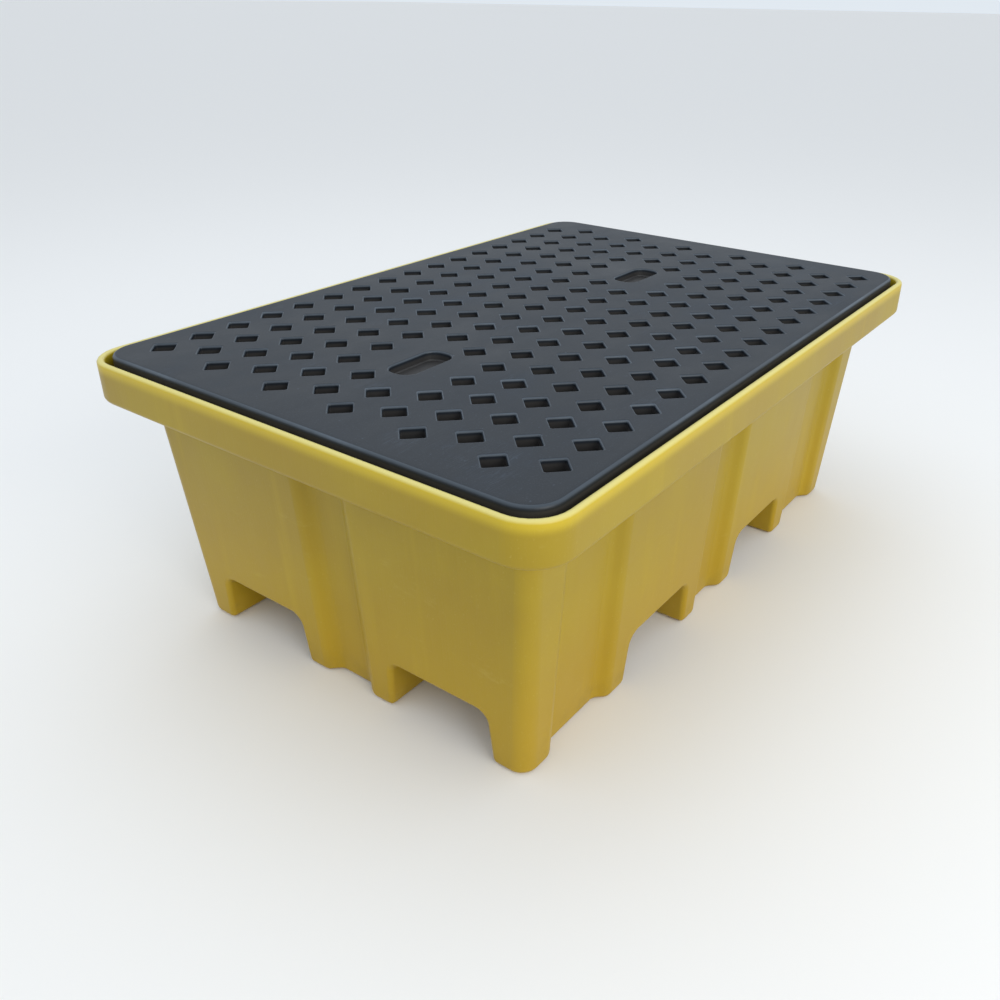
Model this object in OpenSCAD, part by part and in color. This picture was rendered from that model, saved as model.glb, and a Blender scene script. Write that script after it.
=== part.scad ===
// Spill containment pallet: a one-piece moulded sump with four-way fork
// channels under it, a perforated deck that lifts out of its rim, and loose
// posts that stand in the sump and carry the middle of the deck.
// Millimetres. +X runs along the length, +Z is up, and the origin is on the
// ground under the middle of the sump.

/* [Sump] */
// Length over the rim
sump_l = 1300; // [1240:10:1400]
// Width over the rim
sump_w = 890; // [840:10:960]
// Height of the lip above the ground
lip_z = 484; // [460:2:520]
// Height of the underside of the rim band
band_z = 417; // [390:1:425]
// Thickness of the lip
lip_t = 12; // [8:0.5:14]
// Thickness of the moulded wall
wall = 7; // [5:0.5:9]
// Width of the shelf under the deck, out from the sump wall
shelf = 63; // [50:1:70]
// Draft of the sump walls, in degrees
draft = 3.7; // [2:0.1:5]
// Plan radius of the rim's corners
rim_r = 64; // [50:2:80]
// Plan radius of the sump wall's corners
wall_r = 28; // [20:2:45]

/* [Fork channels] */
// Height of the channel roof above the ground
channel_z = 91; // [85:1:110]
// Distance from the centre line to the near side of a channel, at the ground
channel_in = 95; // [80:1:110]
// Distance from the centre line to the far side of a channel, at the ground
channel_out = 293; // [270:1:305]
// How much each foot widens from the ground to the channel roof
foot_flare = 7; // [3:1:10]
// Radius along the top edges of the channels
channel_r = 16; // [8:1:25]

/* [Wall grooves] */
// Depth of the upright grooves in the walls
groove_d = 18; // [10:1:24]
// Width of the groove in the middle of each wall
groove_mid_w = 102; // [80:2:130]
// Distance from the middle of a long wall to its outer grooves' centres
groove_side_at = 421; // [410:1:425]
// Width of the outer grooves
groove_side_w = 158; // [120:2:180]

/* [Deck] */
// Height of the deck's top above the lip
deck_rise = 6; // [0:1:12]
// Clearance between the deck and the inside of the lip
deck_gap = 9; // [5:1:14]
// Plan radius of the deck's corners
deck_r = 50; // [40:1:60]
// Wall thickness of the hollow deck
skin = 4; // [3:0.5:6]
// Diameter of the vent hole in the deck's underside
vent_d = 16; // [6:1:18]
// Side of the square drain holes, which stand corner to corner
hole = 33; // [26:1:36]
// Distance between columns of holes along the length
hole_pitch_x = 35.7; // [34:0.1:37]
// Distance between holes in a column, across the width
hole_pitch_y = 133.2; // [120:0.2:136]
// Length of the plain recesses in the deck's top
recess_l = 112; // [90:2:120]
// Width of the plain recesses
recess_w = 52; // [50:1:58]
// Corner radius of the plain recesses
recess_r = 22; // [6:1:24]
// Depth of the plain recesses
recess_d = 16; // [8:1:24]

/* [Posts] */
// Outside diameter of the posts under the deck
post_d = 110; // [90:1:125]
// Wall thickness of the posts
post_t = 5; // [3:0.5:8]
// Height of the ring in the sump floor that keeps each post in place
ring_h = 10; // [6:1:16]

/* [Hidden] */
$fn = 48;
eps = 0.02;
gap = 0.3;                      // between pieces that part from each other
floor_z = channel_z + wall;     // top of the sump floor over the channels
shelf_z = band_z + wall;        // top of the shelf that the deck rests on
deck_z = shelf_z + gap;
deck_t = lip_z + deck_rise - deck_z;
deck_l = sump_l - 2 * (lip_t + deck_gap);
deck_w = sump_w - 2 * (lip_t + deck_gap);
shelf_l = sump_l - 2 * shelf;   // sump wall over its outside, at the shelf
shelf_w = sump_w - 2 * shelf;
post_at = (channel_in + channel_out) / 2;
post_h = deck_z - floor_z - gap;
ring_gap = 0.5;
ring_t = 5;
columns = 32;                   // columns of holes along the length
rows = 6;                       // holes in each column
recess_columns = [5.5, 23.5];   // where a recess stands instead of four holes
column_0 = (columns - 1) / 2;
yellow = [0.80, 0.68, 0.16];
black = [0.10, 0.11, 0.12];

// Narrowing of the sump walls on each side, from the shelf down to height z
function inset(z) = (band_z - z) * tan(draft);
function column_x(i) = (i - column_0) * hole_pitch_x;
// Odd and even columns are staggered by half a pitch
function hole_y(i, j) = (j - (rows - 1) / 2 + (i % 2 == 0 ? 0.25 : -0.25)) * hole_pitch_y;
function near_recess(i, y) =
    len([for (c = recess_columns) if (abs(i - c) < 2 && abs(y) < hole_pitch_y / 2) c]) > 0;

module rounded(l, w, r) {
    for (x = [-1, 1], y = [-1, 1]) translate([x * (l / 2 - r), y * (w / 2 - r)]) circle(r);
    square([l - 2 * r, w], center = true);
    square([l, w - 2 * r], center = true);
}

// Upright block with drafted sides: l by w at its top, z1, and narrower at z0
module drafted(l, w, r, z0, z1) {
    d = 2 * (inset(z0) - inset(z1));
    translate([0, 0, z1]) mirror([0, 0, 1])
        linear_extrude(z1 - z0, slices = 1, scale = [(l - d) / l, (w - d) / w])
            rounded(l, w, r);
}

// Section of one fork channel, from the centre line out, g thicker all round
module channel_section(g) {
    r = channel_r + g;
    top = channel_z + g;
    slope = foot_flare / channel_z;
    x0 = channel_in - g;
    x1 = channel_out + g;
    polygon(concat(
        [[x0 - 2 * slope, -2], [x1 + 2 * slope, -2]],
        [for (a = [0:15:90]) [x1 - slope * (top - r) - r * (1 - cos(a)), top - r * (1 - sin(a))]],
        [for (a = [90:15:180]) [x0 + slope * (top - r) + r * (1 + cos(a)), top - r * (1 - sin(a))]]
    ));
}

// The two channels along the length and the two across it
module channels(g) {
    for (side = [-1, 1]) {
        rotate([90, 0, 90]) translate([0, 0, -sump_l / 2]) linear_extrude(sump_l)
            to_side(side) channel_section(g);
        rotate([90, 0, 0]) translate([0, 0, -sump_w / 2]) linear_extrude(sump_w)
            to_side(side) channel_section(g);
    }
}

module to_side(side) {
    mirror([side < 0 ? 1 : 0, 0]) children();
}

// Section of a groove w wide in a wall that faces -Y, its sides at 45 degrees
module groove_section(w, g) {
    half = w / 2 + g * sqrt(2);
    d = groove_d + g;
    polygon([[-half - groove_d, -groove_d], [half + groove_d, -groove_d],
             [half - d, d], [-half + d, d]]);
}

// Groove that follows the wall's draft from below the ground to height top
module groove(w, wall_y, g, top) {
    hull() for (z = [-wall, top - eps])
        translate([0, inset(z) - wall_y, z]) linear_extrude(eps) groove_section(w, g);
}

module grooves(g, top) {
    for (turn = [0, 180]) rotate(turn) {
        groove(groove_mid_w, shelf_w / 2, g, top);
        for (x = [-1, 1]) translate([x * groove_side_at, 0])
            groove(groove_side_w, shelf_w / 2, g, top);
        rotate(90) groove(groove_mid_w, shelf_l / 2, g, top);
    }
}

module outside() {
    difference() {
        drafted(shelf_l, shelf_w, wall_r, 0, band_z + eps);
        grooves(0, band_z);
        channels(0);
    }
    translate([0, 0, band_z]) linear_extrude(lip_z - band_z) rounded(sump_l, sump_w, rim_r);
}

module hollow() {
    difference() {
        drafted(shelf_l - 2 * wall, shelf_w - 2 * wall, wall_r - wall, wall, shelf_z + eps);
        grooves(wall, shelf_z);
        channels(wall);
    }
    translate([0, 0, shelf_z]) linear_extrude(lip_z - shelf_z + 1)
        rounded(sump_l - 2 * lip_t, sump_w - 2 * lip_t, rim_r - lip_t);
}

module at_posts() {
    for (x = [-1, 1], y = [-1, 1]) translate([x * post_at, y * post_at]) children();
}

module sump() {
    color(yellow) {
        difference() {
            outside();
            hollow();
        }
        at_posts() translate([0, 0, floor_z - eps]) difference() {
            cylinder(h = ring_h + eps, r = post_d / 2 + ring_gap + ring_t);
            translate([0, 0, -1]) cylinder(h = ring_h + 2, r = post_d / 2 + ring_gap);
        }
    }
}

module hole_pattern(side) {
    for (i = [0:columns - 1], j = [0:rows - 1])
        if (!near_recess(i, hole_y(i, j)))
            translate([column_x(i), hole_y(i, j)]) rotate(45) square(side, center = true);
}

module recesses(g = 0) {
    for (c = recess_columns) translate([column_x(c), 0])
        rounded(recess_l + 2 * g, recess_w + 2 * g, recess_r + g);
}

// Hollow moulding: two skins, a wall round the edge, and a tube round each hole
module deck() {
    color(black) translate([0, 0, deck_z]) {
        linear_extrude(skin) difference() {
            rounded(deck_l, deck_w, deck_r);
            hole_pattern(hole);
            circle(vent_d / 2);
        }
        translate([0, 0, skin]) linear_extrude(deck_t - 2 * skin) {
            difference() {
                rounded(deck_l, deck_w, deck_r);
                rounded(deck_l - 2 * skin, deck_w - 2 * skin, deck_r - skin);
            }
            difference() {
                hole_pattern(hole + 2 * skin);
                hole_pattern(hole);
            }
        }
        translate([0, 0, deck_t - skin]) linear_extrude(skin) difference() {
            rounded(deck_l, deck_w, deck_r);
            hole_pattern(hole);
            recesses();
        }
        translate([0, 0, deck_t - recess_d - skin]) linear_extrude(skin) recesses(skin);
        translate([0, 0, deck_t - recess_d]) linear_extrude(recess_d - skin) difference() {
            recesses(skin);
            recesses();
        }
    }
}

module deck_post(x, y) {
    color(black) translate([x * post_at, y * post_at, floor_z]) difference() {
        cylinder(h = post_h, r = post_d / 2);
        translate([0, 0, -1]) cylinder(h = post_h + 2, r = post_d / 2 - post_t);
    }
}

sump();
deck();
deck_post(-1, -1);  // deck_post_1
deck_post(1, -1);  // deck_post_2
deck_post(-1, 1);  // deck_post_3
deck_post(1, 1);  // deck_post_4
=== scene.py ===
from math import radians, sqrt, tan

import bmesh
import bpy
from mathutils import Matrix, Vector


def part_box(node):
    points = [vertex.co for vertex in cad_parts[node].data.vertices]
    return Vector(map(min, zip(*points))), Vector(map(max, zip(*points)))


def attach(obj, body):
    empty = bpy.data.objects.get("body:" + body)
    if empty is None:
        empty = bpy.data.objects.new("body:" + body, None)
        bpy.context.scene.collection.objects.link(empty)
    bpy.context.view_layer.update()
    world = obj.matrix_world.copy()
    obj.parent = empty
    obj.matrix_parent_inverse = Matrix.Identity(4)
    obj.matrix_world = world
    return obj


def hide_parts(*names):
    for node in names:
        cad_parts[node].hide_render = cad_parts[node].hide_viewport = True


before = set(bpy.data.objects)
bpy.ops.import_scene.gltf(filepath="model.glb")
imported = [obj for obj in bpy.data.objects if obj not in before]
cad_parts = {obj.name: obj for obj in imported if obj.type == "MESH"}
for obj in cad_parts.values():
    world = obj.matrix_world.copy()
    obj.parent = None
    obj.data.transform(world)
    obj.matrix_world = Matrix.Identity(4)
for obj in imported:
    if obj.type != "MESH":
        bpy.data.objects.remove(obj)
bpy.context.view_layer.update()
print("frame loaded")


# small helpers for working on a mesh in edit mode

sharpAngle = radians(60)      # edges that are sharper than this get rounded
upAlmost = .9                 # least z of a normal or direction that counts as upright


def freshObject(name):
    piece = bpy.context.object
    piece.name = name
    piece.data.name = name
    return piece


def deselectAll():
    if bpy.context.object and bpy.context.object.mode != "OBJECT":
        bpy.ops.object.mode_set(mode="OBJECT")
    bpy.ops.object.select_all(action="DESELECT")


def selectOnly(piece):
    deselectAll()
    bpy.context.view_layer.objects.active = piece
    piece.select_set(True)


def openPiece(piece):
    selectOnly(piece)
    bpy.ops.object.mode_set(mode="EDIT")


def closePiece():
    bpy.ops.object.mode_set(mode="OBJECT")


def applyPlace(piece):
    selectOnly(piece)
    bpy.ops.object.transform_apply(location=True, rotation=True, scale=True)


# Selects the verts, edges or faces for which test says yes. An edge or face is
# tested on its middle and on its own element.
def pick(kind, test):
    bpy.ops.mesh.select_mode(type=kind)
    bpy.ops.mesh.select_all(action="DESELECT")
    mesh = bmesh.from_edit_mesh(bpy.context.object.data)
    if kind == "VERT":
        for v in mesh.verts:
            v.select_set(test(v.co))
    elif kind == "EDGE":
        for e in mesh.edges:
            a, b = e.verts[0].co, e.verts[1].co
            e.select_set(test((a + b) / 2, e))
    else:
        for f in mesh.faces:
            f.select_set(test(f.calc_center_median(), f))
    mesh.select_flush_mode()
    bmesh.update_edit_mesh(bpy.context.object.data)


def pickAll():
    bpy.ops.mesh.select_all(action="SELECT")


def cut(point, normal):
    pickAll()
    bpy.ops.mesh.bisect(plane_co=point, plane_no=normal)


def move(x=0, y=0):
    bpy.ops.transform.translate(value=(x, y, 0))


def stretch(factors, about):
    bpy.ops.transform.resize(value=factors, center_override=about)


def pull(z=0):
    bpy.ops.mesh.extrude_region_move(TRANSFORM_OT_translate={"value": (0, 0, z)})


def roundEdges(radius, segments):
    bpy.ops.mesh.bevel(offset=radius, segments=segments, affect="EDGES", clamp_overlap=False)


def roundCorners(radius, segments):
    pickAll()
    bpy.ops.mesh.bevel(offset=radius, segments=segments, affect="VERTICES", clamp_overlap=False)


def outwardNormals():
    pickAll()
    bpy.ops.mesh.normals_make_consistent(inside=False)


def finishWith(piece, kind, **settings):
    mod = piece.modifiers.new(kind.title(), kind)
    for key, value in settings.items():
        setattr(mod, key, value)
    selectOnly(piece)
    bpy.ops.object.modifier_apply(modifier=mod.name)


def near(a, b, slack=.0015):
    return abs(a - b) < slack


def flat(f):
    return abs(f.normal.z) > upAlmost


# camera

view = {
    "place": (-1.333, -.930, .986),
    "heading": 35.24,      # degrees from the length towards the width
    "dip": 27.6,
    "roll": .9,
    "lens": 33.2, "sensor": 36,
    "shift": (-.0471, -.0191),
}


def addCamera():
    data = bpy.data.cameras.new("camera")
    cam = bpy.data.objects.new("camera", data)
    bpy.context.collection.objects.link(cam)
    cam.location = view["place"]
    turn = Matrix.Rotation(radians(view["heading"] - 90), 4, "Z")
    tip = Matrix.Rotation(radians(90 - view["dip"]), 4, "X")
    lean = Matrix.Rotation(radians(view["roll"]), 4, "Z")
    cam.rotation_euler = (turn @ tip @ lean).to_euler()
    data.lens = view["lens"]
    data.sensor_width = view["sensor"]
    data.shift_x, data.shift_y = view["shift"]
    bpy.context.scene.camera = cam


addCamera()


# floor and light

studio = {
    "floor": (.90, .875, .85), "floorRoughness": .9,
    "floorSize": 300, "floorDrop": .0005,      # just under the feet
    "room": (.86, .93, 1.0), "roomStrength": .88,
    "lights": {     # place, aim, size in metres, watts, colour
        "topSoft": ((.3, .9, 3.2), (0, 0, .4), (3.4, 2.6), 22, (.84, .92, 1)),
        "rightSoft": ((-1.5, -4.4, 2.3), (-.2, 0, .3), (3.2, 2.2), 98, (1, .985, .93)),
    },
}


def addLight(name, place, aim, size, watts, colour):
    data = bpy.data.lights.new(name, "AREA")
    data.shape = "RECTANGLE"
    data.size, data.size_y = size
    data.energy = watts
    data.color = colour
    lamp = bpy.data.objects.new(name, data)
    bpy.context.collection.objects.link(lamp)
    lamp.location = place
    lamp.rotation_euler = (Vector(aim) - Vector(place)).to_track_quat("-Z", "Y").to_euler()


def addStudio():
    world = bpy.data.worlds.new("softRoom")
    bpy.context.scene.world = world
    bpy.context.scene.view_settings.view_transform = "Standard"
    world.use_nodes = True
    back = world.node_tree.nodes["Background"]
    back.inputs["Color"].default_value = (*studio["room"], 1)
    back.inputs["Strength"].default_value = studio["roomStrength"]
    for name, facts in studio["lights"].items():
        addLight(name, *facts)
    deselectAll()
    bpy.ops.mesh.primitive_plane_add(size=studio["floorSize"], location=(0, 0, -studio["floorDrop"]))
    floor = freshObject("studioFloor")
    paint = bpy.data.materials.new("floorPaint")
    paint.use_nodes = True
    shader = paint.node_tree.nodes["Principled BSDF"]
    shader.inputs["Base Color"].default_value = (*studio["floor"], 1)
    shader.inputs["Roughness"].default_value = studio["floorRoughness"]
    floor.data.materials.append(paint)


addStudio()
print("camera and studio set")


# shader maths: an expression on Wires adds its own nodes

class Wire:
    def __init__(self, tree, socket=None):
        self.tree, self.socket = tree, socket

    def node(self, kind, settings=None, sockets=None, out=0):
        made = self.tree.nodes.new("ShaderNode" + kind)
        for key, value in (settings or {}).items():
            setattr(made, key, value)
        for key, value in (sockets or {}).items():
            if isinstance(value, Wire):
                self.tree.links.new(value.socket, made.inputs[key])
            else:
                made.inputs[key].default_value = value
        return Wire(self.tree, made.outputs[out])

    def maths(self, operation, first, second=0.0):
        return self.node("Math", {"operation": operation}, {0: first, 1: second})

    def __add__(self, other):
        return self.maths("ADD", self, other)

    def __radd__(self, other):
        return self.maths("ADD", other, self)

    def __sub__(self, other):
        return self.maths("SUBTRACT", self, other)

    def __rsub__(self, other):
        return self.maths("SUBTRACT", other, self)

    def __mul__(self, other):
        return self.maths("MULTIPLY", self, other)

    def __abs__(self):
        return self.maths("ABSOLUTE", self)


def objectPlace(wire):
    return wire.node("TexCoord", out=3)


def stretched(place, scale, turn=0):
    return place.node("Mapping", {"vector_type": "POINT"},
                      {"Vector": place, "Rotation": (0, 0, turn), "Scale": scale})


def noise(place, scale, detail=3.0, rough=.5):
    return place.node("TexNoise", sockets={
        "Vector": place, "Scale": scale, "Detail": detail, "Roughness": rough})


# 0 below low, 1 above high, or the other way round where low is the larger
def fade(value, low, high):
    return value.node("MapRange", {"interpolation_type": "SMOOTHSTEP"},
                      {"Value": value, "From Min": low, "From Max": high})


def tint(amount, first, second):
    def colour(c):
        return c if isinstance(c, Wire) else (*c, 1)
    return amount.node("Mix", {"data_type": "RGBA"},
                       {0: amount, 6: colour(first), 7: colour(second)}, out=2)


# Thin scratches: where a noise that is drawn out along one direction crosses its middle
def hairlines(place, turn, length, spacing, width):
    drawn = noise(stretched(place, (1 / length, 1 / spacing, 1 / length), turn), 1, 2)
    return 1 - fade(abs(drawn - .5), width * .3, width)


def newMaterial(name):
    paint = bpy.data.materials.new(name)
    paint.use_nodes = True
    return paint, paint.node_tree.nodes["Principled BSDF"], Wire(paint.node_tree)


def feed(wire, shader, colour, roughness, height):
    bump = wire.node("Bump", sockets={"Strength": 1, "Distance": 1, "Height": height})
    for key, value in {"Base Color": colour, "Roughness": roughness, "Normal": bump}.items():
        wire.tree.links.new(value.socket, shader.inputs[key])


# yellow moulded polyethylene of the sump

yellowPlastic = {
    "body": (.355, .250, .0075),
    "warm": (.318, .212, .0060),
    # low: painted bounce light, a brighter warmer yellow near the floor
    "low": (.470, .285, .0070),
    # bright: real streaks in the moulding, and the painted glow under the lip
    "brightStreakAndGlow": (.620, .450, .0180),
    # pale: real specks and scuffs, and the painted highlight along the lip
    "paleFleckAndHighlight": (.760, .680, .260),
    "grime": (.150, .110, .045),
    "ior": 1.42, "roughness": .40,
    "cloudScale": 3.2, "streakScale": (24, 24, 1.1), "speckleScale": 260, "scuffScale": (9, 9, 26),
    "bounceLightFrom": .36, "bounceLightShare": .60,               # painted bounce light from the floor: a deeper, brighter colour from here down
    "streakShare": .14, "speckleShare": .08, "scuffShare": .08,
    "rimPaintedGlow": (.462, .480), "rimShare": .75,     # painted glow: heights over which the rim gets lighter
    # painted highlight along the top of the lip
    "lipHighlightHeights": (.4795, .4835), "lipHighlightShare": .70,
    "grimeFrom": .070, "grimeScale": 22, "grimeShare": .18,
    "cloudGloss": .16, "streakGloss": .10, "scuffGloss": .10, "grimeGloss": .25,
    "peelScale": 300, "orangePeel": .00007,        # depths in metres
    "waveScale": 6.5, "waviness": .0011,
    "scratches": (.5, .4, .012, .03), "scratchDepth": .00004,
}


def makeYellow():
    facts = yellowPlastic
    paint, shader, wire = newMaterial("yellowPolyethylene")
    shader.inputs["IOR"].default_value = facts["ior"]
    place = objectPlace(wire)
    height = wire.node("SeparateXYZ", sockets={0: place}, out=2)
    cloud = noise(place, facts["cloudScale"], 4, .55)
    streaks = noise(stretched(place, facts["streakScale"]), 1, 3, .55)
    speckle = noise(place, facts["speckleScale"], 2)
    scuffs = fade(noise(stretched(place, facts["scuffScale"]), 1, 6, .7), .60, .74)

    colour = tint(fade(cloud, .35, .70), facts["warm"], facts["body"])
    # painted bounce light from the floor: brighter and warmer towards the bottom
    colour = tint(fade(height, facts["bounceLightFrom"], .0) * facts["bounceLightShare"], colour, facts["low"])
    colour = tint(fade(streaks, .52, .80) * facts["streakShare"], colour, facts["brightStreakAndGlow"])
    colour = tint(fade(speckle, .62, .80) * facts["speckleShare"], colour, facts["paleFleckAndHighlight"])
    # painted glow of light through the plastic: the rim gets lighter towards the lip
    colour = tint(fade(height, *facts["rimPaintedGlow"]) * facts["rimShare"], colour, facts["brightStreakAndGlow"])
    # painted highlight: a pale line along the top of the lip
    paintedLipHighlight = fade(height, *facts["lipHighlightHeights"]) * facts["lipHighlightShare"]
    colour = tint(paintedLipHighlight + scuffs * facts["scuffShare"], colour, facts["paleFleckAndHighlight"])
    grime = fade(noise(place, facts["grimeScale"], 5, .65), .44, .66) * facts["grimeShare"]
    grime = fade(height, facts["grimeFrom"], .0) * grime
    colour = tint(grime, colour, facts["grime"])

    roughness = facts["roughness"] + (cloud - .5) * facts["cloudGloss"]
    roughness = roughness + (streaks - .5) * facts["streakGloss"]
    roughness = roughness + scuffs * facts["scuffGloss"] + grime * facts["grimeGloss"]
    bump = noise(place, facts["peelScale"], 2) * facts["orangePeel"]
    bump = bump + noise(place, facts["waveScale"], 2) * facts["waviness"]
    bump = bump - hairlines(place, *facts["scratches"]) * facts["scratchDepth"]
    feed(wire, shader, colour, roughness, bump)
    return paint


# black moulded polyethylene of the deck

deckPlastic = {
    "body": (.0060, .0095, .0150),
    "grey": (.0110, .0155, .0230),
    "dust": (.066, .092, .130),
    # worn: rub wear on the hole rims, and a painted highlight on them
    "wearAndHighlight": (.110, .135, .165),
    # deep: painted light, a lighter browner tone on the hole walls and the deck's sides
    "deep": (.052, .047, .043),
    "ior": 1.38, "roughness": .48,
    "cloudScale": 4.5, "blotchScale": (2.2, 5, 1), "grainScale": 420, "speckScale": 130,
    "topSkin": (-.0006, -.0001),      # heights from the deck's top
    "rimBand": (-.0045, -.0015),
    "holeDepth": (-.0040, -.0090),
    "scratches": ((.35, .16, .009, .012), (-.9, .12, .011, .010), (1.5, .20, .010, .010)),
    "scratchPatch": 9,
    "blotchShare": .20, "grainShare": .22, "scratchShare": .18, "speckShare": .4,
    "rimShare": (.40, .40), "deepShare": (.75, .6),
    "cloudGloss": .32, "blotchGloss": .30, "rimGloss": .08,
    "grain": .00006,                  # depths in metres
    "waveScale": 5.5, "waviness": .0012, "scratchDepth": .00003,
}


def makeDeckBlack(top):
    facts = deckPlastic
    paint, shader, wire = newMaterial("blackPolyethylene")
    shader.inputs["IOR"].default_value = facts["ior"]
    place = objectPlace(wire)
    height = wire.node("SeparateXYZ", sockets={0: place}, out=2)
    cloud = noise(place, facts["cloudScale"], 5, .6)
    blotches = noise(stretched(place, facts["blotchScale"]), 1, 6, .68)
    grain = noise(place, facts["grainScale"], 2)

    def between(limits):
        return fade(height, top + limits[0], top + limits[1])

    onTop = between(facts["topSkin"])
    onRims = between(facts["rimBand"]) * (1 - onTop)
    inside = between(facts["holeDepth"])
    first, second, third = (hairlines(place, *scratch) for scratch in facts["scratches"])
    lines = first + second + third
    lines = lines * fade(noise(place, facts["scratchPatch"], 3, .6), .52, .70)
    specks = fade(noise(place, facts["speckScale"], 1), .76, .82)

    colour = tint(fade(cloud, .32, .68), facts["body"], facts["grey"])
    colour = tint(onTop * fade(blotches, .48, .78) * facts["blotchShare"], colour, facts["dust"])
    colour = tint(onTop * fade(grain, .56, .76) * facts["grainShare"], colour, facts["dust"])
    marks = onTop * lines * facts["scratchShare"] + onTop * specks * facts["speckShare"]
    colour = tint(marks, colour, facts["dust"])
    # hole rims: real wear and a painted highlight, lighter than the top
    least, more = facts["rimShare"]
    colour = tint(onRims * (least + fade(cloud, .4, .7) * more), colour, facts["wearAndHighlight"])
    # painted light: hole walls and the deck's sides lighter and browner than the black top
    least, more = facts["deepShare"]
    colour = tint(inside * (least + (blotches - .5) * more), colour, facts["deep"])

    roughness = facts["roughness"] + (cloud - .5) * facts["cloudGloss"]
    roughness = roughness + (blotches - .5) * facts["blotchGloss"] - onRims * facts["rimGloss"]
    bump = grain * facts["grain"] + noise(place, facts["waveScale"], 2) * facts["waviness"]
    feed(wire, shader, colour, roughness, bump - lines * facts["scratchDepth"])
    return paint


# extruded black pipe of the posts

pipePlastic = {
    "body": (.016, .017, .018),
    "dull": (.034, .035, .036),
    "chalk": (.110, .110, .105),
    "roughness": .36,
    "drawnScale": (420, 420, 1.4), "cloudScale": 9, "scuffScale": (16, 16, 60),
    "scuffShare": .35, "drawnShare": .10,
    "cloudGloss": .2, "scuffGloss": .2,
    "drawnDepth": .00012,             # depths in metres
    "peelScale": 300, "peelDepth": .00003,
}


def makePipeBlack():
    facts = pipePlastic
    paint, shader, wire = newMaterial("pipePolyethylene")
    place = objectPlace(wire)
    drawn = noise(stretched(place, facts["drawnScale"]), 1, 3, .6)
    cloud = noise(place, facts["cloudScale"], 4, .6)
    scuffs = fade(noise(stretched(place, facts["scuffScale"]), 1, 6, .7), .60, .72)
    colour = tint(fade(cloud, .35, .7), facts["body"], facts["dull"])
    marks = scuffs * facts["scuffShare"] + fade(drawn, .6, .8) * facts["drawnShare"]
    colour = tint(marks, colour, facts["chalk"])
    roughness = facts["roughness"] + (cloud - .5) * facts["cloudGloss"] + scuffs * facts["scuffGloss"]
    bump = drawn * facts["drawnDepth"] + noise(place, facts["peelScale"], 2) * facts["peelDepth"]
    feed(wire, shader, colour, roughness, bump)
    return paint


# sump: one yellow moulding

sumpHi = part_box("sump")[1]
sump = {
    "halfL": sumpHi.x, "halfW": sumpHi.y, "lip": sumpHi.z,
    "band": .417,          # underside of the rim band
    "shelf": .063,
    "roof": .091,          # of the fork channels
    "draft": tan(radians(3.7)),
    "footIn": .095, "footOut": .293, "flare": .007,
    "groove": .018,
    "midGroove": .051, "sideGroove": (.342, .500),
    "wallRadius": .028, "rimRadius": .064, "channelRadius": .018,
    "wallSteps": 8, "channelSteps": 5, "lipSteps": 4,
    "softEdge": .0095, "softSteps": 4, "softAngle": radians(32),
    "wall": .007, "lipThick": .012, "lipRound": .0055,
    "slack": .001, "cornerSlack": .003, "wallSlack": .004, "rimSlack": .03,      # for picking
    "sameVert": .0002, "flatAngle": radians(1),
}


def sumpCuts():
    deep = sump["groove"]
    mid = [sump["midGroove"], sump["midGroove"] - deep]
    side = [sump["sideGroove"][0], sump["sideGroove"][0] + deep,
            sump["sideGroove"][1] - deep, sump["sideGroove"][1]]
    feet = [sump["footIn"] + sump["flare"], sump["footOut"] - sump["flare"]]
    for s in (-1, 1):
        for x in mid + side + feet:
            cut((s * x, 0, 0), (1, 0, 0))
        for y in mid + feet:
            cut((0, s * y, 0), (0, 1, 0))


def inGrooveFloor(along, longSide):
    a, deep, slack = abs(along), sump["groove"], sump["slack"]
    if a < sump["midGroove"] - deep + slack:
        return True
    start, end = sump["sideGroove"]
    return longSide and start + deep - slack < a < end - deep + slack


# Moves the walls' verts at height z inwards, or outwards where step is negative
def taperWalls(z, wallX, wallY, step):
    reach = sump["groove"] + sump["wallSlack"]
    for s in (-1, 1):
        pick("VERT", lambda p: near(p.z, z) and s * p.x > wallX - reach)
        move(x=-s * step)
        pick("VERT", lambda p: near(p.z, z) and s * p.y > wallY - reach)
        move(y=-s * step)


def upright(e):
    return abs((e.verts[0].co - e.verts[1].co).normalized().z) > upAlmost


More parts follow.
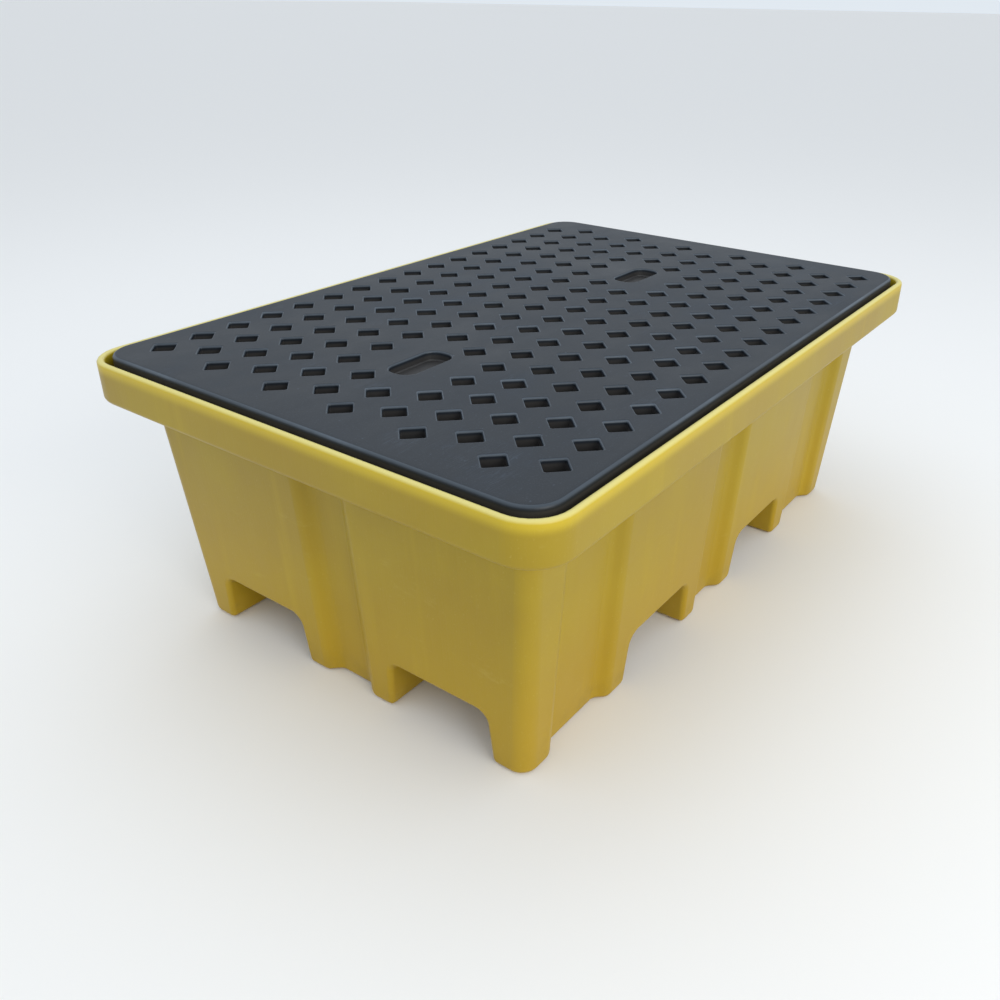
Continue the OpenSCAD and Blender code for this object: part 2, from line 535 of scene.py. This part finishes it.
def makeSump():
    band, roof, draft = sump["band"], sump["roof"], sump["draft"]
    wallX, wallY = sump["halfL"] - sump["shelf"], sump["halfW"] - sump["shelf"]
    deselectAll()
    bpy.ops.mesh.primitive_plane_add(size=2, location=(0, 0, band))
    piece = freshObject("sumpTub")
    piece.scale = (wallX, wallY, 1)
    applyPlace(piece)
    openPiece(piece)
    sumpCuts()
    for s in (-1, 1):      # the grooves' floors
        pick("VERT", lambda p: near(p.y, s * wallY) and inGrooveFloor(p.x, True))
        move(y=-s * sump["groove"])
        pick("VERT", lambda p: near(p.x, s * wallX) and inGrooveFloor(p.y, False))
        move(x=-s * sump["groove"])
    pickAll()
    pull(z=roof - band)    # the walls, down to the channels' roof
    taperWalls(roof, wallX, wallY, draft * (band - roof))

    inner = sump["footIn"] + sump["flare"]
    outer = sump["footOut"] - sump["flare"]

    def overFoot(a):
        return abs(a) < inner or abs(a) > outer

    pick("FACE", lambda m, f: near(m.z, roof) and overFoot(m.x) and overFoot(m.y))
    pull(z=-roof)          # nine feet
    lowX, lowY = wallX - draft * (band - roof), wallY - draft * (band - roof)
    taperWalls(0, lowX, lowY, draft * roof)
    for s in (-1, 1):      # and their draft on the channel sides
        pick("VERT", lambda p: near(p.z, 0) and near(p.x, s * inner))
        move(x=-s * sump["flare"])
        pick("VERT", lambda p: near(p.z, 0) and near(p.x, s * outer))
        move(x=s * sump["flare"])
        pick("VERT", lambda p: near(p.z, 0) and near(p.y, s * inner))
        move(y=-s * sump["flare"])
        pick("VERT", lambda p: near(p.z, 0) and near(p.y, s * outer))
        move(y=s * sump["flare"])

    def onWall(f):
        return abs(f.normal.z) < .3

    outwardNormals()
    pick("EDGE", lambda m, e: m.z < band - sump["slack"] and e.calc_face_angle(1) < sump["flatAngle"]
         and all(onWall(f) for f in e.link_faces))
    bpy.ops.mesh.dissolve_edges(use_verts=True)     # flat walls are one face each
    slack = sump["cornerSlack"]
    pick("EDGE", lambda m, e: upright(e) and abs(m.x) > wallX - draft * (band - m.z) - slack
         and abs(m.y) > wallY - draft * (band - m.z) - slack)
    roundEdges(sump["wallRadius"], sump["wallSteps"])
    pick("EDGE", lambda m, e: near(m.z, roof) and not upright(e) and not e.is_convex
         and e.calc_face_angle(0) > sharpAngle)
    roundEdges(sump["channelRadius"], sump["channelSteps"])

    pick("FACE", lambda m, f: near(m.z, band) and flat(f))
    bpy.ops.mesh.delete(type="FACE")
    pick("EDGE", lambda m, e: near(m.z, band) and e.is_boundary)
    pull()                 # the shelf, out to the rim's outline
    tight, wide = sump["wallRadius"], sump["rimRadius"]
    reach = 2 * sump["slack"]
    bendX, bendY = wallX - tight, wallY - tight

    bpy.ops.mesh.hide(unselected=True)
    for s in (-1, 1):
        pick("VERT", lambda p: abs(p.x) < bendX - reach and s * p.y > wallY - sump["rimSlack"])
        stretch((1, 0, 1), (0, s * sump["halfW"], 0))
        pick("VERT", lambda p: abs(p.y) < bendY - reach and s * p.x > wallX - sump["rimSlack"])
        stretch((0, 1, 1), (s * sump["halfL"], 0, 0))
        for t in (-1, 1):
            pick("VERT", lambda p: s * p.x > bendX - reach and t * p.y > bendY - reach)
            stretch((wide / tight, wide / tight, 1), (s * bendX, t * bendY, 0))
            move(x=s * (sump["halfL"] - wide - bendX), y=t * (sump["halfW"] - wide - bendY))
    bpy.ops.mesh.reveal()
    pick("EDGE", lambda m, e: near(m.z, band) and e.is_boundary)
    pull(z=sump["lip"] - band)
    pickAll()
    bpy.ops.mesh.remove_doubles(threshold=sump["sameVert"])
    outwardNormals()
    closePiece()
    finishWith(piece, "SOLIDIFY", thickness=sump["wall"], offset=-1, use_even_offset=True)
    return piece


# Moves the inside of the rim in from the wall's thickness to the lip's, and rounds the lip
def thickenLip(piece):
    step = sump["lipThick"] - sump["wall"]
    cornerX, cornerY = sump["halfL"] - sump["rimRadius"], sump["halfW"] - sump["rimRadius"]
    inner = sump["rimRadius"] - sump["wall"]
    shelfTop = sump["band"] + sump["wall"]
    slack = sump["slack"]

    def onInside(p):
        if p.z < shelfTop - slack:
            return False
        over = Vector((max(abs(p.x) - cornerX, 0), max(abs(p.y) - cornerY, 0)))
        return near(over.length, inner, 2 * slack)

    openPiece(piece)
    for s in (-1, 1):
        for t in (-1, 1):
            pick("VERT", lambda p: onInside(p) and s * p.x > cornerX - slack
                 and t * p.y > cornerY - slack)
            f = (inner - step) / inner
            stretch((f, f, 1), (s * cornerX, t * cornerY, 0))
        pick("VERT", lambda p: onInside(p) and s * p.x > cornerX + 10 * slack
             and abs(p.y) < cornerY - slack)
        move(x=-s * step)
        pick("VERT", lambda p: onInside(p) and s * p.y > cornerY + 10 * slack
             and abs(p.x) < cornerX - slack)
        move(y=-s * step)
    pick("EDGE", lambda m, e: near(m.z, sump["lip"], .0005) and e.calc_face_angle(0) > sharpAngle)
    roundEdges(sump["lipRound"], sump["lipSteps"])
    closePiece()
    finishWith(piece, "BEVEL", width=sump["softEdge"], segments=sump["softSteps"],
               limit_method="ANGLE", angle_limit=sump["softAngle"], use_clamp_overlap=False,
               loop_slide=False)


postLo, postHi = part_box("deck_post_1")
postRing = {
    "floor": postLo.z, "height": .010, "sunk": .003,
    "radius": (postHi.x - postLo.x) / 2 + .0055, "thick": .005, "sides": 64,
    "soft": .0012, "softSteps": 2, "softAngle": radians(40),
    "at": (abs(postLo.x + postHi.x) / 2, abs(postLo.y + postHi.y) / 2),
}


def makeRing(x, y):
    ring = postRing
    middle = ring["floor"] + (ring["height"] - ring["sunk"]) / 2
    deselectAll()
    bpy.ops.mesh.primitive_cylinder_add(
        vertices=ring["sides"], radius=ring["radius"], depth=ring["height"] + ring["sunk"],
        end_fill_type="NOTHING", location=(x, y, middle))
    piece = freshObject("postRing")
    applyPlace(piece)
    finishWith(piece, "SOLIDIFY", thickness=ring["thick"], offset=-1, use_even_offset=True)
    finishWith(piece, "BEVEL", width=ring["soft"], segments=ring["softSteps"],
               limit_method="ANGLE", angle_limit=ring["softAngle"])
    return piece


def makeRings():
    atX, atY = postRing["at"]
    return [makeRing(s * atX, t * atY) for s in (-1, 1) for t in (-1, 1)]


def joinInto(piece, others):
    selectOnly(piece)
    for other in others:
        other.select_set(True)
    bpy.ops.object.join()


def smoothOver(piece, paint):
    selectOnly(piece)
    bpy.ops.object.shade_smooth()
    finishWith(piece, "WEIGHTED_NORMAL", keep_sharp=True, weight=100)
    piece.data.materials.clear()
    piece.data.materials.append(paint)


tub = makeSump()
thickenLip(tub)
joinInto(tub, makeRings())
smoothOver(tub, makeYellow())
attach(tub, "sump")
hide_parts("sump")
print("sump done", len(tub.data.polygons), "faces")


# deck: black hollow moulding with a drain hole at each lattice point but those beside the two recesses

deckLo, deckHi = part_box("deck")
deck = {
    "halfL": deckHi.x, "halfW": deckHi.y, "top": deckHi.z, "bottom": deckLo.z,
    "corner": .050, "cornerSteps": 8, "flange": .012,
    "topEdge": .0065, "topSteps": 5, "bottomEdge": .004, "bottomSteps": 2,
    "columns": 32, "rows": 6, "pitchX": .0357, "pitchY": .1332,
    "hole": .033, "holeCorner": .0035, "cornerFacets": 2, "holeFlange": .0055,
    "holeEdge": .0035, "holeTopSteps": 3, "holeBottomSteps": 1,
    "recessColumns": (5.5, 23.5), "recess": (.112, .052), "recessCorner": .022,
    "recessCornerSteps": 6, "recessDepth": .016, "recessEdge": .003, "recessSteps": 3,
    "recessFlange": .0055,
}


def columnX(i):
    return (i - (deck["columns"] - 1) / 2) * deck["pitchX"]


def makeShell():
    deselectAll()
    bpy.ops.mesh.primitive_plane_add(size=2, location=(0, 0, deck["bottom"]))
    piece = freshObject("deckPanel")
    piece.scale = (deck["halfL"], deck["halfW"], 1)
    applyPlace(piece)
    openPiece(piece)
    roundCorners(deck["corner"], deck["cornerSteps"])
    pickAll()
    pull(z=deck["top"] - deck["bottom"])
    for level in (deck["bottom"], deck["top"]):
        pick("FACE", lambda m, f: near(m.z, level) and flat(f))
        bpy.ops.mesh.inset(thickness=deck["flange"])
        bpy.ops.mesh.delete(type="FACE")
    for end in ("bottom", "top"):
        pick("EDGE", lambda m, e: near(m.z, deck[end]) and e.calc_face_angle(0) > sharpAngle)
        roundEdges(deck[end + "Edge"], deck[end + "Steps"])
    closePiece()
    return piece


# A tube from the top face to the underside, with a narrow flange round each end
def makeHole():
    half = deck["hole"] / sqrt(2)
    deselectAll()
    bpy.ops.mesh.primitive_circle_add(vertices=4, radius=half, fill_type="NGON",
                                      location=(0, 0, deck["top"]))
    piece = freshObject("drainHole")
    applyPlace(piece)
    openPiece(piece)
    roundCorners(deck["holeCorner"], deck["cornerFacets"])
    pickAll()
    pull(z=deck["bottom"] - deck["top"])
    pick("FACE", lambda m, f: flat(f))
    bpy.ops.mesh.delete(type="FACE")
    wide = (half + deck["holeFlange"]) / half
    for level, steps in ((deck["bottom"], deck["holeBottomSteps"]), (deck["top"], deck["holeTopSteps"])):
        pick("EDGE", lambda m, e: near(m.z, level) and e.is_boundary)
        pull()
        stretch((wide, wide, 1), (0, 0, level))
        pick("EDGE", lambda m, e: near(m.z, level) and e.calc_face_angle(0) > sharpAngle)
        roundEdges(deck["holeEdge"], steps)
    closePiece()
    return piece


def besideRecess(i, y):
    return any(abs(i - c) < 2 and abs(y) < deck["pitchY"] / 2 for c in deck["recessColumns"])


def layHoles(hole):
    laid = []
    for i in range(deck["columns"]):
        for j in range(deck["rows"]):
            stagger = .25 if i % 2 == 0 else -.25
            y = (j - (deck["rows"] - 1) / 2 + stagger) * deck["pitchY"]
            if besideRecess(i, y):
                continue
            twin = hole.copy()
            twin.data = hole.data.copy()
            twin.location = (columnX(i), y, 0)
            bpy.context.collection.objects.link(twin)
            laid.append(twin)
    bpy.data.objects.remove(hole)
    return laid


# Plain rounded recess that takes a hand when the deck is lifted out
def makeRecess(x):
    halfL, halfW = deck["recess"][0] / 2, deck["recess"][1] / 2
    floor = deck["top"] - deck["recessDepth"]
    deselectAll()
    bpy.ops.mesh.primitive_plane_add(size=2, location=(x, 0, floor))
    piece = freshObject("recess")
    piece.scale = (halfL, halfW, 1)
    applyPlace(piece)
    openPiece(piece)
    roundCorners(deck["recessCorner"], deck["recessCornerSteps"])
    pickAll()
    pull(z=deck["recessDepth"])
    pick("FACE", lambda m, f: near(m.z, deck["top"]) and flat(f))
    bpy.ops.mesh.delete(type="FACE")
    pick("EDGE", lambda m, e: near(m.z, deck["top"]) and e.is_boundary)
    pull()
    wide = deck["recessFlange"]
    stretch(((halfL + wide) / halfL, (halfW + wide) / halfW, 1), (x, 0, deck["top"]))
    for level in (floor, deck["top"]):
        pick("EDGE", lambda m, e: near(m.z, level) and e.calc_face_angle(0) > sharpAngle)
        roundEdges(deck["recessEdge"], deck["recessSteps"])
    closePiece()
    return piece


def makeDeck():
    piece = makeShell()
    joinInto(piece, layHoles(makeHole()) + [makeRecess(columnX(c)) for c in deck["recessColumns"]])
    openPiece(piece)
    for level in (deck["bottom"], deck["top"]):
        pick("EDGE", lambda m, e: near(m.z, level, .0004) and e.is_boundary)
        bpy.ops.mesh.fill(use_beauty=True)
    outwardNormals()
    closePiece()
    return piece


panel = makeDeck()
smoothOver(panel, makeDeckBlack(deck["top"]))
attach(panel, "deck")
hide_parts("deck")
print("deck done", len(panel.data.polygons), "faces")


# posts: four loose lengths of pipe in the sump

post = {"wall": .005, "sides": 72, "soft": .0012, "softSteps": 3, "softAngle": radians(40)}


def makePost(node):
    low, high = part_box(node)
    deselectAll()
    bpy.ops.mesh.primitive_circle_add(
        vertices=post["sides"], radius=(high.x - low.x) / 2,
        location=((low.x + high.x) / 2, (low.y + high.y) / 2, low.z))
    piece = freshObject("pipe_" + node)
    applyPlace(piece)
    openPiece(piece)
    pickAll()
    pull(z=high.z - low.z)
    outwardNormals()
    closePiece()
    finishWith(piece, "SOLIDIFY", thickness=post["wall"], offset=-1, use_even_offset=True)
    finishWith(piece, "BEVEL", width=post["soft"], segments=post["softSteps"],
               limit_method="ANGLE", angle_limit=post["softAngle"])
    return piece


pipeBlack = makePipeBlack()
for node in ("deck_post_1", "deck_post_2", "deck_post_3", "deck_post_4"):
    pipe = makePost(node)
    smoothOver(pipe, pipeBlack)
    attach(pipe, "sump")
    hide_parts(node)
print("posts done")
